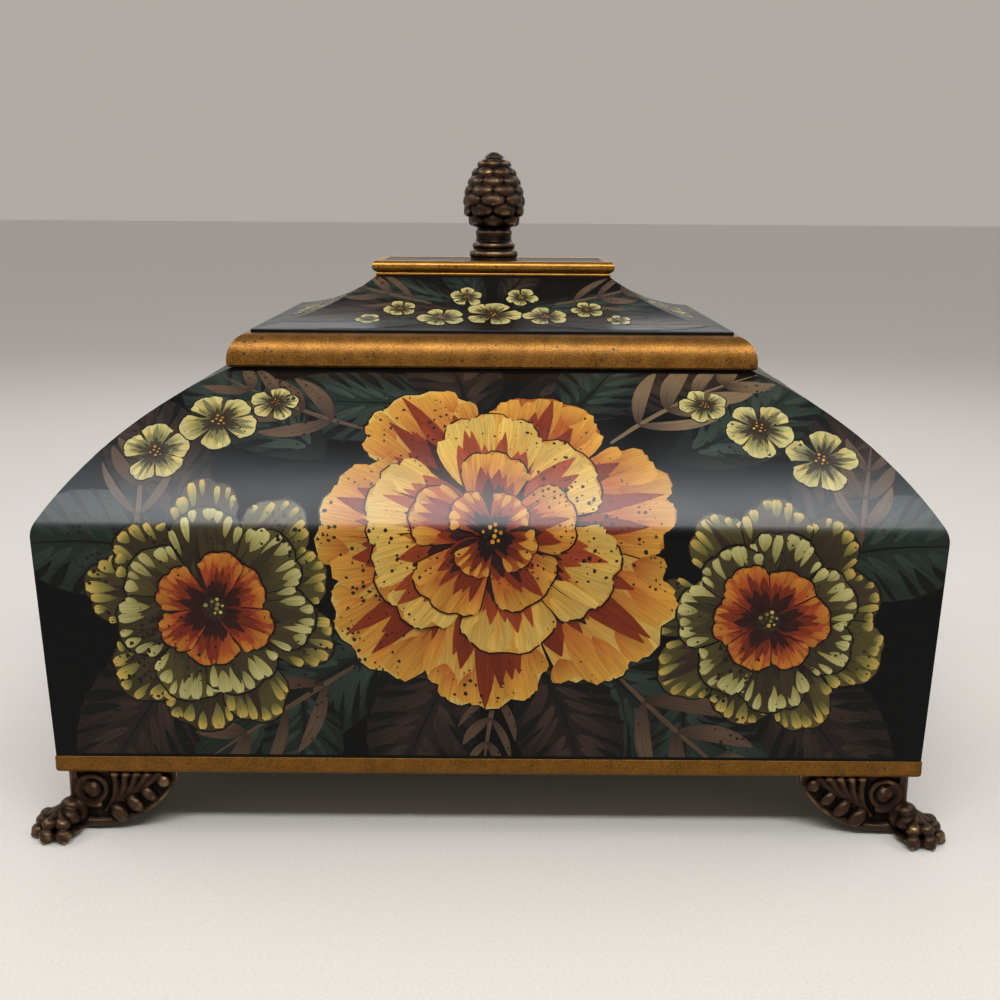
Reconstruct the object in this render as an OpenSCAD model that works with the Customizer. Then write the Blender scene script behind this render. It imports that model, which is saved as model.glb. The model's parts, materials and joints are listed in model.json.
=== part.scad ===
// Painted tinplate casket with a lift-off lid, paw feet and a pine cone finial.
// Lengths are in millimetres and angles in degrees. The front faces -Y and the
// origin is on the floor, under the middle of the case.
//
// The four sides of the body, of the lid and of every moulding share one
// outline each, drawn in (setback, height): the setback is measured inwards
// from the widest line of the body, so all four corners are plain 45 degree mitres.

/* [Body] */
// Width across the widest line of the body
body_w = 390; // [350:2:450]
// Depth across the widest line of the body
body_d = 324; // [300:2:400]
// Height of the widest line above the bottom of the gold band
crease_h = 108.8; // [80:0.2:150]
// Lean of the walls, which draw in towards the bottom
wall_lean = 1.8; // [0.5:0.1:4]
// Radius of the bend between wall and shoulder
crease_r = 12; // [6:1:20]
// Slope of the shoulder just above the bend
shoulder_slope_low = 56; // [50:1:62]
// Slope of the shoulder where it meets the ledge
shoulder_slope_high = 21.5; // [16:0.5:28]
// How far the shoulder draws in before it meets the ledge
shoulder_run = 73; // [62:1:80]
// Width of the flat ledge that carries the lid
ledge_w = 9; // [8:0.5:12]
// Thickness of the tinplate
sheet_t = 1.2; // [0.8:0.1:1.6]

/* [Base] */
// Height of the gold band round the bottom
band_h = 8; // [6:0.5:12]
// Depth of the band from its outer face inwards
band_depth = 16; // [15:0.5:20]
// Radius of the band's lower outer edge
band_round = 2.4; // [1:0.2:3.2]
// How far the band stands proud of the wall
band_proud = 0.4; // [0.2:0.1:0.8]
// Thickness of the floor plate
floor_t = 1.5; // [1:0.1:3]

/* [Mouth] */
// Depth of the stiffening collar under the ledge
collar_drop = 10; // [6:1:16]
// Depth that the lid's skirt reaches below the ledge
skirt_drop = 13; // [8:1:20]
// Side clearance between the skirt and the collar
skirt_clearance = 1.2; // [0.8:0.1:2]
// Gap that the closed lid keeps above the ledge
lid_seat = 0.3; // [0.2:0.1:1]
// How far the lid's moulding reaches out over the shoulder
lid_overhang = 1.8; // [0:0.2:3]

/* [Lid] */
// Width of the rounded part of the gold moulding
moulding_bulge = 10; // [8:0.5:11]
// Height of the rounded part of the gold moulding
moulding_rise = 12; // [8:0.5:16]
// Height of the straight foot below the round
moulding_foot = 3.3; // [2:0.1:5]
// Height of the black lip on top of the moulding
lip_h = 1.6; // [1.3:0.1:3]
// How far the hollow cove draws in
cove_run = 54.6; // [46:0.2:58]
// Slope of the cove at its foot
cove_slope_low = 5.5; // [3:0.5:10]
// Slope of the cove at its top
cove_slope_high = 38.5; // [32:0.5:48]
// Width of the flange that carries the top mouldings
top_flange = 7; // [6:0.5:9]
// Radius of the bead round the top plate
bead_r = 2.9; // [2.4:0.1:3.4]
// Radius of the small fillet under the bead
fillet_r = 0.9; // [0.6:0.1:1.2]
// Thickness of the top plate
plate_t = 1.2; // [0.8:0.1:1.6]

/* [Finial] */
// Radius of the collar at its widest
collar_r = 12.7; // [11:0.1:15]
// Height of the collar, with its two rings
collar_h = 10.2; // [8.5:0.1:13]
// Radius of the neck
neck_r = 9.2; // [8.2:0.1:10]
// Height of the plain neck between collar and cone
neck_h = 3.2; // [2:0.2:6]
// Largest radius of the cone, over its scales
cone_r = 16.2; // [14:0.1:20]
// Height of the cone
cone_h = 42; // [34:1:52]
// Scales in one row round the cone
cone_scales = 8; // [6:1:10]
// Pairs of staggered rows up the cone
cone_rows = 4; // [3:1:5]
// How far a scale stands out
scale_depth = 2.2; // [1:0.1:3]
// Radius of the threaded stud that holds the finial
stud_r = 2.5; // [2:0.1:3]

/* [Feet] */
// Height of the feet, from the floor to the bottom of the band
foot_h = 29.5; // [26:0.5:40]
// Length of each bracket wing along the case
wing_len = 48.7; // [44:0.5:60]
// Thickness of a bracket wing
wing_t = 4; // [3:0.5:5]
// How far the wings stand back from the face of the band
wing_inset = 3.8; // [2:0.2:5]
// Clearance between the floor and the underside of the wings
wing_gap = 1.8; // [1:0.2:4]
// Thickness of the cast flange under the band
flange_t = 3; // [2:0.5:4]
// Height of the back of the paw
paw_h = 17; // [14:0.5:20]
// Reach of the toes from the corner, along each side
paw_reach = 16.4; // [14:0.2:20]
// Radius of the foot screws
screw_r = 2; // [1.5:0.1:2.2]

/* [Hidden] */
$fn = 64;

japanned = "#17171a";
gold = "#a9772c";
bronze = "#3b2d20";
tinned = "#8f8f8a";
steel = "#9a9a9c";

// Steps of the curved outlines
bend_steps = 6;
sweep_steps = 24;
round_steps = 12;

// Heights that everything else stands on
band_top = foot_h + band_h;
crease_z = foot_h + crease_h;

// The shoulder is one arc, tangent to the bend and ending at the ledge
shoulder_r = (shoulder_run - crease_r * (1 - sin(shoulder_slope_low)))
    / (sin(shoulder_slope_low) - sin(shoulder_slope_high));
ledge_z = crease_z
    + (crease_r - shoulder_r) * cos(shoulder_slope_low)
    + shoulder_r * cos(shoulder_slope_high);
mouth_s = shoulder_run + ledge_w;
skirt_s = mouth_s + skirt_clearance;

// Lid levels, from the ledge upwards
moulding_s = shoulder_run - lid_overhang;
moulding_z = ledge_z + lid_seat;
moulding_top = moulding_z + moulding_foot + moulding_rise;
lip_s = moulding_s + moulding_bulge;
cove_z = moulding_top + lip_h;
cove_r = cove_run / (sin(cove_slope_high) - sin(cove_slope_low));
cove_top_s = lip_s + cove_run;
cove_top_z = cove_z + cove_r * (cos(cove_slope_low) - cos(cove_slope_high));

// Bead strips on the flange of the coves, with a rebate for the plate
bead_s = cove_top_s + 0.7;
bead_z = cove_top_z + 2 * fillet_r + bead_r;
plate_sink = 0.6;
plate_top = bead_z + bead_r - plate_sink;
plate_bottom = plate_top - plate_t;
rebate_angle = asin((plate_top - bead_z) / bead_r);
bead_root_angle = 250;
rebate_s = bead_s + bead_r * cos(rebate_angle);
plate_clearance = 0.15;
stud_clearance = 0.2;
thread_clearance = 0.05;

// Finial levels, from the plate upwards
neck_z = plate_top + collar_h;
stud_grip = collar_h + 11;
nut_h = 4;
nut_flats = 8;
washer_r = 6;
washer_t = 1;

// Feet
band_s = wall_setback(band_top, 0) - band_proud;
foot_s = band_s + wing_inset;
boss_r = 4.4;
boss_h = 11;
flute_count = 6;
rib_sink = 0.5;
rim_w = 2;
rim_proud = 0.7;
screw_in = wing_t + 2.6;
screw_along = 25;
screw_grip = 7;
screw_clearance = 0.25;
screw_head_r = 3.7;
screw_head_h = 2.3;
foot_washer_r = 4.6;
foot_washer_t = 0.9;
floor_clearance = 0.3;

// Where the mitres stop: short of the middle of the case
mitre_reach = min(body_w, body_d) / 2 - 1;
mitre_margin = 6;
sky = crease_z + 200;

// Points along an arc round c, from angle a0 to a1
function arc(c, r, a0, a1, steps) = [
    for (i = [0:steps])
        let (a = a0 + (a1 - a0) * i / steps)
            c + r * [cos(a), sin(a)]
];

// A list without its last or its first point
function but_last(list) = [for (i = [0:len(list) - 2]) list[i]];
function but_first(list) = [for (i = [1:len(list) - 1]) list[i]];
function backwards(list) = [for (i = [1:len(list)]) list[len(list) - i]];

// Setback of the wall's skin, sunk inwards by `sink`, at a height
function wall_setback(z, sink) =
    let (
        r = crease_r - sink,
        tangent = [crease_r - r * cos(wall_lean), crease_z - r * sin(wall_lean)]
    )
    tangent[0] + (tangent[1] - z) * tan(wall_lean);

// Outline of the body's skin from the band up to the ledge
function body_skin(sink) =
    let (
        bend = [crease_r, crease_z],
        dir = [cos(90 + shoulder_slope_low), sin(90 + shoulder_slope_low)],
        hub = bend + (crease_r - shoulder_r) * dir
    )
    concat(
        [[wall_setback(band_top, sink), band_top]],
        arc(bend, crease_r - sink, 180 + wall_lean, 90 + shoulder_slope_low, bend_steps),
        but_first(arc(hub, shoulder_r - sink, 90 + shoulder_slope_low,
            90 + shoulder_slope_high, sweep_steps))
    );

// Outline of the cove's skin, hollow to the outside
function cove_skin(sink) =
    let (
        hub = [lip_s - cove_r * sin(cove_slope_low), cove_z + cove_r * cos(cove_slope_low)]
    )
    arc(hub, cove_r + sink, cove_slope_low - 90, cove_slope_high - 90, sweep_steps);

// One side of the case: a profile in (setback, height), run along the side
// and cut to a 45 degree mitre at both ends
module mitred_side(turn) {
    along = turn % 180 == 0 ? body_w : body_d;
    across = turn % 180 == 0 ? body_d : body_w;
    rotate([0, 0, turn])
        translate([0, -across / 2, 0])
            intersection() {
                rotate([90, 0, 90])
                    linear_extrude(height = along + 2, center = true)
                        children();
                linear_extrude(height = sky)
                    polygon([
                        [-along / 2 - mitre_margin, -mitre_margin],
                        [along / 2 + mitre_margin, -mitre_margin],
                        [along / 2 - mitre_reach, mitre_reach],
                        [mitre_reach - along / 2, mitre_reach]
                    ]);
            }
}

// A frame in one piece: four straight sides that lap at square corners. The
// outline's outer face stands upright at `outer_s`, so the corners close by it.
module framed(outer_s) {
    for (turn = [0, 90, 180, 270]) {
        along = turn % 180 == 0 ? body_w : body_d;
        across = turn % 180 == 0 ? body_d : body_w;
        rotate([0, 0, turn])
            translate([0, -across / 2, 0])
                rotate([90, 0, 90])
                    linear_extrude(height = along - 2 * outer_s, center = true)
                        children();
    }
}

module body_profile() {
    outer = body_skin(0);
    inner = body_skin(sheet_t);
    under = [shoulder_run + sheet_t * tan(shoulder_slope_high / 2), ledge_z - sheet_t];
    polygon(concat(
        outer,
        [[mouth_s, ledge_z], [mouth_s, ledge_z - sheet_t], under],
        backwards(but_last(inner))
    ));
}

module band_profile() {
    polygon(concat(
        [
            [band_s, band_top],
            [band_s + band_depth, band_top],
            [band_s + band_depth, foot_h]
        ],
        arc([band_s + band_round, foot_h + band_round], band_round, 270, 180, round_steps)
    ));
}

module moulding_profile() {
    base = moulding_z + moulding_foot;
    crown = [
        for (i = [0:round_steps])
            let (a = 90 * i / round_steps)
                [lip_s - moulding_bulge * cos(a), base + moulding_rise * sin(a)]
    ];
    ease = moulding_foot / 3;
    polygon(concat(
        [[moulding_s + ease, moulding_z], [moulding_s, moulding_z + ease]],
        crown,
        [[skirt_s, moulding_top], [skirt_s, moulding_z]]
    ));
}

module cove_profile() {
    outer = cove_skin(0);
    inner = but_first(but_last(cove_skin(sheet_t)));
    flange_s = cove_top_s + top_flange;
    under = [cove_top_s + sheet_t * tan(cove_slope_high / 2), cove_top_z - sheet_t];
    heel_z = cove_z + sheet_t * (tan(cove_slope_low) - 1 / cos(cove_slope_low));
    polygon(concat(
        [[lip_s, moulding_top]],
        outer,
        [[flange_s, cove_top_z], [flange_s, cove_top_z - sheet_t], under],
        backwards(inner),
        [[lip_s + sheet_t, heel_z], [lip_s + sheet_t, moulding_top]]
    ));
}

module bead_profile() {
    inner_s = cove_top_s + top_flange;
    polygon(concat(
        arc([cove_top_s + fillet_r / 2, cove_top_z + fillet_r], fillet_r, 270, 90, round_steps),
        arc([bead_s, bead_z], bead_r, bead_root_angle, rebate_angle, 2 * round_steps),
        [[rebate_s, plate_bottom], [inner_s, plate_bottom], [inner_s, cove_top_z]]
    ));
}

module skirt_profile() {
    lip = 8;
    polygon([
        [skirt_s, ledge_z - skirt_drop],
        [skirt_s, moulding_top],
        [skirt_s + lip, moulding_top],
        [skirt_s + lip, moulding_top - sheet_t],
        [skirt_s + sheet_t, moulding_top - sheet_t],
        [skirt_s + sheet_t, ledge_z - skirt_drop]
    ]);
}

module collar_profile() {
    drop_z = ledge_z - sheet_t - collar_drop;
    translate([mouth_s - sheet_t, drop_z])
        square([sheet_t, collar_drop]);
}

module panel(turn) {
    color(japanned)
        mitred_side(turn) body_profile();
}

module front_panel() { panel(0); }
module right_panel() { panel(90); }
module back_panel() { panel(180); }
module left_panel() { panel(270); }

module band(turn) {
    color(gold)
        difference() {
            mitred_side(turn) band_profile();
            screw_places()
                cylinder(r = screw_r + screw_clearance, h = band_top + 1);
        }
}

module front_band() { band(0); }
module right_band() { band(90); }
module back_band() { band(180); }
module left_band() { band(270); }

module floor_plate() {
    edge = wall_setback(band_top, sheet_t) + floor_clearance;
    color(tinned)
        difference() {
            translate([edge - body_w / 2, edge - body_d / 2, band_top])
                cube([body_w - 2 * edge, body_d - 2 * edge, floor_t]);
            screw_places()
                cylinder(r = screw_r + screw_clearance, h = band_top + floor_t + 1);
        }
}

module mouth_collar() {
    color(tinned)
        framed(mouth_s - sheet_t) collar_profile();
}

module at_corner(side, end) {
    mirror([side > 0 ? 1 : 0, 0, 0])
        mirror([0, end > 0 ? 1 : 0, 0])
            translate([foot_s - body_w / 2, foot_s - body_d / 2, 0])
                children();
}

// The two screws of each foot, one behind each wing
module screw_places() {
    for (side = [-1, 1], end = [-1, 1])
        at_corner(side, end)
            for (place = [[screw_along, screw_in], [screw_in, screw_along]])
                translate(place)
                    children();
}

// Flat bracket wing: square at the top, with a belly that sweeps up to the tip
module wing_outline() {
    heel = 11;
    tip_h = 4;
    rise = foot_h - tip_h - wing_gap;
    run = wing_len - heel;
    belly_r = (run * run + rise * rise) / (2 * rise);
    sweep = atan2(run, belly_r - rise);
    polygon(concat(
        [[0, foot_h], [0, wing_gap]],
        arc([heel, wing_gap + belly_r], belly_r, -90, sweep - 90, sweep_steps),
        [[wing_len, foot_h]]
    ));
}

// Carving on a wing: a volute by the corner and lobes that shrink towards the tip
module wing_carving() {
    volute = [9.4, foot_h - 9.2];
    volute_r = 5.4;
    rim_r = 1.3;
    eye_r = 3;
    lobes = [[25, 9.4, 4.4], [32.2, 14.6, 3.9], [38.4, 19.4, 3.4], [43.6, 24.9, 2.7]];
    translate([volute[0], 0, volute[1]])
        rotate([90, 0, 0])
            rotate_extrude()
                translate([volute_r, 0])
                    circle(r = rim_r);
    translate([volute[0], 0.6, volute[1]])
        sphere(r = eye_r);
    for (lobe = lobes)
        translate([lobe[0], 0.3 * lobe[2], lobe[1]])
            sphere(r = lobe[2]);
}

// A tapered rib on the wing's face, between two points in (along, height)
module rib(from, to, r_from, r_to) {
    run = to - from;
    translate([from[0], rib_sink, from[1]])
        rotate([0, atan2(run[0], run[1]), 0])
            cylinder(r1 = r_from, r2 = r_to, h = norm(run), $fn = 10);
}

// Flutes that fan out from the heel up to the band
module flutes() {
    heel_rib = [14.4, 8.6];
    head_rib = [17.2, foot_h - 1.6];
    for (i = [0:flute_count - 1])
        rib(heel_rib + i * [1.8, 1.5], head_rib + i * [3.9, 0], 0.8, 1.5);
}

// Plain rim along the belly of the wing
module belly_rim() {
    rotate([90, 0, 0])
        linear_extrude(height = rim_proud + 1, center = true)
            difference() {
                wing_outline();
                translate([-rim_w / 2, rim_w])
                    wing_outline();
            }
}

module wing() {
    translate([0, wing_t, 0])
        rotate([90, 0, 0])
            linear_extrude(height = wing_t)
                wing_outline();
    wing_carving();
    flutes();
    belly_rim();
    translate([0, 0, foot_h - flange_t])
        cube([wing_len - wing_t, screw_in + boss_r + 1, flange_t]);
    translate([screw_along, screw_in, foot_h - boss_h])
        cylinder(r1 = boss_r - 1, r2 = boss_r, h = boss_h);
}

// Paw: a rounded back that runs out to four toes, fanned about the diagonal
module paw() {
    back_r = 6.2;
    knuckle_r = 4.1;
    tip_r = 3.6;
    fan = [-51, -17, 17, 51];
    fan_in = 3;
    tip_out = paw_reach - tip_r - fan_in;
    knuckle_out = tip_out - 2.4;
    sole_r = 8;
    hull($fn = 24) {
        translate([-2.6, -2.6, paw_h - back_r])
            sphere(r = back_r);
        translate([-4.4, -4.4, back_r - 1])
            sphere(r = back_r + 1);
        translate([5, 5, 3])
            sphere(r = 4.4);
    }
    for (turn = fan)
        rotate([0, 0, 225 + turn])
            hull($fn = 16) {
                translate([knuckle_out + fan_in, 0, 8.6])
                    sphere(r = knuckle_r);
                translate([tip_out + fan_in, 0, 3.2])
                    sphere(r = tip_r);
            }
    translate([-4, -4, 0])
        cylinder(r = sole_r, h = 2);
}

module foot(side, end) {
    color(bronze)
        at_corner(side, end)
            difference() {
                union() {
                    wing();
                    mirror([1, -1, 0]) wing();
                    paw();
                }
                translate([-60, -60, -20])
                    cube([120, 120, 20]);
                for (place = [[screw_along, screw_in], [screw_in, screw_along]])
                    translate([place[0], place[1], foot_h - screw_grip - 1])
                        cylinder(r = screw_r + thread_clearance, h = screw_grip + 2);
            }
}

module front_left_foot() { foot(-1, -1); }
module front_right_foot() { foot(1, -1); }
module back_left_foot() { foot(-1, 1); }
module back_right_foot() { foot(1, 1); }

module foot_screws() {
    head_z = band_top + floor_t + foot_washer_t;
    slot = 0.9;
    color(steel)
        screw_places()
            difference() {
                union() {
                    translate([0, 0, foot_h - screw_grip])
                        cylinder(r = screw_r, h = head_z - foot_h + screw_grip);
                    translate([0, 0, head_z])
                        cylinder(r1 = screw_head_r, r2 = screw_head_r - 0.6, h = screw_head_h);
                }
                translate([-screw_head_r - 1, -slot / 2, head_z + screw_head_h - 1])
                    cube([2 * screw_head_r + 2, slot, 2]);
            }
}

module foot_washers() {
    color(steel)
        screw_places()
            translate([0, 0, band_top + floor_t])
                difference() {
                    cylinder(r = foot_washer_r, h = foot_washer_t);
                    translate([0, 0, -1])
                        cylinder(r = screw_r + screw_clearance, h = foot_washer_t + 2);
                }
}

module cove(turn) {
    color(japanned)
        mitred_side(turn) cove_profile();
}

module front_cove() { cove(0); }
module right_cove() { cove(90); }
module back_cove() { cove(180); }
module left_cove() { cove(270); }

module moulding(turn) {
    color(gold)
        mitred_side(turn) moulding_profile();
}

module front_moulding() { moulding(0); }
module right_moulding() { moulding(90); }
module back_moulding() { moulding(180); }
module left_moulding() { moulding(270); }

module lid_skirt() {
    color(tinned)
        framed(skirt_s) skirt_profile();
}

module top_bead(turn) {
    color(gold)
        mitred_side(turn) bead_profile();
}

module front_top_bead() { top_bead(0); }
module right_top_bead() { top_bead(90); }
module back_top_bead() { top_bead(180); }
module left_top_bead() { top_bead(270); }

module top_plate() {
    edge = rebate_s + plate_clearance;
    color(japanned)
        difference() {
            translate([edge - body_w / 2, edge - body_d / 2, plate_bottom])
                cube([body_w - 2 * edge, body_d - 2 * edge, plate_t]);
            translate([0, 0, plate_bottom - 1])
                cylinder(r = stud_r + stud_clearance, h = plate_t + 2);
        }
}

// Cone radius at a share u of its height: widest below the middle, drawn to a point
function cone_radius(u) =
    let (
        belly = 0.36,
        up = max(0, (u - belly) / (1 - belly)),
        down = max(0, (belly - u) / belly)
    )
    u >= belly
        ? cone_r * pow(1 - pow(up, 1.6), 0.7)
        : neck_r + (cone_r - neck_r) * pow(1 - down * down, 1.25);

// Height of the scale pattern: two families of spiral grooves that cross
function scale_rise(turn, u) =
    let (
        rank = 180 * cone_rows * pow(u, 0.9),
        left = cos(cone_scales * turn / 2 + rank),
        right = cos(cone_scales * turn / 2 - rank)
    )
    pow(abs(left * right), 0.7);

module cone_body() {
    around = cone_scales * 6;
    up = cone_rows * 10;
    neck = [
        for (i = [0:around - 1])
            let (turn = 360 * i / around)
                [neck_r * cos(turn), neck_r * sin(turn), 0]
    ];
    rings = [
        for (j = [0:up - 1])
            let (u = j / up, r = cone_radius(u), fade = min(1, 6 * u))
                for (i = [0:around - 1])
                    let (
                        turn = 360 * i / around,
                        sunk = scale_depth * fade * r / cone_r * (1 - scale_rise(turn, u))
                    )
                        [(r - sunk) * cos(turn), (r - sunk) * sin(turn), neck_h + cone_h * u]
    ];
    foot = (up + 1) * around;
    tip = foot + 1;
    points = concat(neck, rings, [[0, 0, 0], [0, 0, neck_h + cone_h]]);
    last = up * around;
    faces = concat(
        [for (i = [0:around - 1]) [foot, i, (i + 1) % around]],
        [
            for (j = [0:up - 1], i = [0:around - 1])
                let (k = (i + 1) % around, low = j * around, high = low + around)
                    [low + i, high + i, high + k]
        ],
        [
            for (j = [0:up - 1], i = [0:around - 1])
                let (k = (i + 1) % around, low = j * around, high = low + around)
                    [low + i, high + k, low + k]
        ],
        [for (i = [0:around - 1]) [last + i, tip, last + (i + 1) % around]]
    );
    polyhedron(points = points, faces = faces, convexity = 6);
}

module finial() {
    color(bronze)
        translate([0, 0, neck_z])
            difference() {
                cone_body();
                translate([0, 0, -1])
                    cylinder(r = stud_r + thread_clearance, h = stud_grip - collar_h + 2);
            }
}

// Collar under the cone: a flat foot, a fat ring and a thinner one above it
module finial_collar() {
    fat_r = collar_h / 4 - 0.1;
    thin_r = collar_h / 5 - 0.1;
    core_r = collar_r - fat_r;
    color(bronze)
        translate([0, 0, plate_top])
            difference() {
                union() {
                    cylinder(r = collar_r - 0.6, h = 1.2);
                    cylinder(r = core_r, h = collar_h / 2 + 1);
                    cylinder(r = neck_r - 0.4, h = collar_h);
                    translate([0, 0, fat_r + 0.6])
                        rotate_extrude()
                            translate([core_r, 0])
                                circle(r = fat_r);
                    translate([0, 0, 2 * fat_r + thin_r + 0.9])
                        rotate_extrude()
                            translate([collar_r - 1.5 - thin_r, 0])
                                circle(r = thin_r);
                }
                translate([0, 0, -1])
                    cylinder(r = stud_r + stud_clearance, h = collar_h + 2);
            }
}

module finial_stud() {
    below = washer_t + nut_h + 1.5;
    color(steel)
        translate([0, 0, plate_bottom - below])
            cylinder(r = stud_r, h = below + plate_t + stud_grip);
}

module finial_washer() {
    color(steel)
        translate([0, 0, plate_bottom - washer_t])
            difference() {
                cylinder(r = washer_r, h = washer_t);
                translate([0, 0, -1])
                    cylinder(r = stud_r + stud_clearance, h = washer_t + 2);
            }
}

module finial_nut() {
    color(steel)
        translate([0, 0, plate_bottom - washer_t - nut_h])
            difference() {
                cylinder(r = nut_flats / 2 / cos(30), h = nut_h, $fn = 6);
                translate([0, 0, -1])
                    cylinder(r = stud_r + thread_clearance, h = nut_h + 2);
            }
}

front_panel();
back_panel();
left_panel();
right_panel();
front_band();
back_band();
left_band();
right_band();
floor_plate();
mouth_collar();
front_left_foot();
front_right_foot();
back_left_foot();
back_right_foot();
foot_screws();
foot_washers();
front_cove();
back_cove();
left_cove();
right_cove();
front_moulding();
back_moulding();
left_moulding();
right_moulding();
lid_skirt();
front_top_bead();
back_top_bead();
left_top_bead();
right_top_bead();
top_plate();
finial();
finial_collar();
finial_stud();
finial_washer();
finial_nut();
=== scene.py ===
"""A painted tin casket with a lift-off lid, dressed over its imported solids.

Sizes are in millimetres in this file and become metres as a mesh is finished.
The front faces -Y, and the origin is on the floor under the middle of the case.
"""

import copy
import json
import math
import random

import bmesh
import bpy
import numpy as np
from mathutils import Matrix, Vector

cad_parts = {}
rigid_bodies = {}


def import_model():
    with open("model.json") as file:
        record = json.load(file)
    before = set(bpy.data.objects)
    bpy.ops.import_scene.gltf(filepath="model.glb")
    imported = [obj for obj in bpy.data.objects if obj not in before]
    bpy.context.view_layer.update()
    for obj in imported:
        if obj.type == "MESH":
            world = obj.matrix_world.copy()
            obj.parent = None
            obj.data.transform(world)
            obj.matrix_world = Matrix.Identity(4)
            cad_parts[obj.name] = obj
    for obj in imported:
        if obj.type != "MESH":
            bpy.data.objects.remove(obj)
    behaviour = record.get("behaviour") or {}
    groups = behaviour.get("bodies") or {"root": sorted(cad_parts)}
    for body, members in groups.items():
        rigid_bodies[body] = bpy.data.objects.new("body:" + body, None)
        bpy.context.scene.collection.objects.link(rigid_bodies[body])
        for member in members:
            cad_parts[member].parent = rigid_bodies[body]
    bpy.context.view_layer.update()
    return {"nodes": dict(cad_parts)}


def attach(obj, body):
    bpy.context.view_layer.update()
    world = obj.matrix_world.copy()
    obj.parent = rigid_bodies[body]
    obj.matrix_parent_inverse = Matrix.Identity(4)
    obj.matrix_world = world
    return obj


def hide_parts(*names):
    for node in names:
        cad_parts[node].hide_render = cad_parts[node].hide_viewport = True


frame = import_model()


# Viewpoint. A hand-held close view from in front, a little above the lid,
# looking slightly down: a 46.8 mm lens on a 36 mm frame, with no shift.

TILT, ROLL = 76.96, 0.4


def stand(name, data):
    """A new object with this data, placed in the scene."""
    made = bpy.data.objects.new(name, data)
    bpy.context.scene.collection.objects.link(made)
    return made


camera = stand("viewpoint", bpy.data.cameras.new("viewpoint"))
camera.data.lens = 46.8
camera.data.sensor_width = 36
camera.location = (0.0042, -0.6948, 0.2795)
camera.rotation_euler = (
    Matrix.Rotation(math.radians(TILT), 4, "X") @ Matrix.Rotation(math.radians(ROLL), 4, "Z")
).to_euler()
bpy.context.scene.camera = camera


# Case sides. Four panels of 1.2 mm tinplate, each folded into wall, bend, arched
# shoulder and ledge, mitred and soldered at the corners. They are japanned:
# stoved with black asphaltum varnish, which dries to a deep satin black.

CASE_W, CASE_D = 390, 324
SHEET = 1.2
FOOT_H, BAND_H = 29.5, 8
BAND_TOP = FOOT_H + BAND_H
CREASE_Z = FOOT_H + 108.8
WALL_LEAN = 1.8
BEND_R = 12
SHOULDER_LOW, SHOULDER_HIGH = 56, 21.5
SHOULDER_RUN, LEDGE = 73, 9
MOUTH = SHOULDER_RUN + LEDGE
TURNS = {"front": 0, "right": 90, "back": 180, "left": 270}
MM = 0.001


def arc(hub, radius, start, end, steps):
    """Points of an arc in an outline, angles in degrees."""
    angles = [math.radians(start + (end - start) * i / steps) for i in range(steps + 1)]
    return [(hub[0] + radius * math.cos(a), hub[1] + radius * math.sin(a)) for a in angles]


def sine(degrees):
    return math.sin(math.radians(degrees))


def cosine(degrees):
    return math.cos(math.radians(degrees))


SHOULDER_R = (SHOULDER_RUN - BEND_R * (1 - sine(SHOULDER_LOW))) / (
    sine(SHOULDER_LOW) - sine(SHOULDER_HIGH)
)
SHOULDER_HUB = (
    BEND_R - (BEND_R - SHOULDER_R) * sine(SHOULDER_LOW),
    CREASE_Z + (BEND_R - SHOULDER_R) * cosine(SHOULDER_LOW),
)
LEDGE_Z = SHOULDER_HUB[1] + SHOULDER_R * cosine(SHOULDER_HIGH)


def wall_setback(z, sink=0):
    """How far the wall stands back from the widest line, at a height."""
    r = BEND_R - sink
    tangent_z = CREASE_Z - r * sine(WALL_LEAN)
    return BEND_R - r * cosine(WALL_LEAN) + (tangent_z - z) * math.tan(math.radians(WALL_LEAN))


def side_skin(sink=0):
    """The outline of wall, bend and shoulder as (setback, height)."""
    return (
        [(wall_setback(BAND_TOP, sink), BAND_TOP)]
        + arc((BEND_R, CREASE_Z), BEND_R - sink, 180 + WALL_LEAN, 90 + SHOULDER_LOW, 6)
        + arc(SHOULDER_HUB, SHOULDER_R - sink, 90 + SHOULDER_LOW, 90 + SHOULDER_HIGH, 14)[1:]
    )


def linear(hex_code):
    """An sRGB hex colour as the linear RGBA that the shaders take."""
    parts = [int(hex_code[i : i + 2], 16) / 255 for i in (1, 3, 5)]
    return [p / 12.92 if p <= 0.04045 else ((p + 0.055) / 1.055) ** 2.4 for p in parts] + [1]


def feed(tree, node, sockets):
    """Sets a node's sockets to numbers, colours or the outputs that feed them."""
    for socket, value in dict(sockets).items():
        if isinstance(value, bpy.types.NodeSocket):
            tree.links.new(value, node.inputs[socket])
        else:
            node.inputs[socket].default_value = value


def add(tree, kind, sockets=(), **settings):
    """Adds one node with its settings and sockets."""
    made = tree.nodes.new("ShaderNode" + kind)
    for key, value in settings.items():
        setattr(made, key, value)
    feed(tree, made, sockets)
    return made


def noise(tree, place, scale, detail):
    return add(tree, "TexNoise", {"Vector": place, "Scale": scale, "Detail": detail}).outputs["Fac"]


def remap(tree, value, low, high, start=0, end=1):
    """Runs a value from low and high to start and end, and no further."""
    return add(tree, "MapRange", {
        "Value": value, "From Min": low, "From Max": high, "To Min": start, "To Max": end,
    }).outputs["Result"]


def two_tone(tree, share, first, second):
    """Mixes two colours by a share, each a hex colour or an output."""
    first, second = (linear(c) if isinstance(c, str) else c for c in (first, second))
    mixed = add(tree, "Mix", {"Factor": share, 6: first, 7: second}, data_type="RGBA")
    return mixed.outputs[2]


def relief(tree, height, strength, depth, under=None):
    """A fine relief of that depth in metres, on top of another one if there is one."""
    sockets = {"Strength": strength, "Distance": depth, "Height": height}
    if under:
        sockets["Normal"] = under
    return add(tree, "Bump", sockets).outputs["Normal"]


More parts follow.
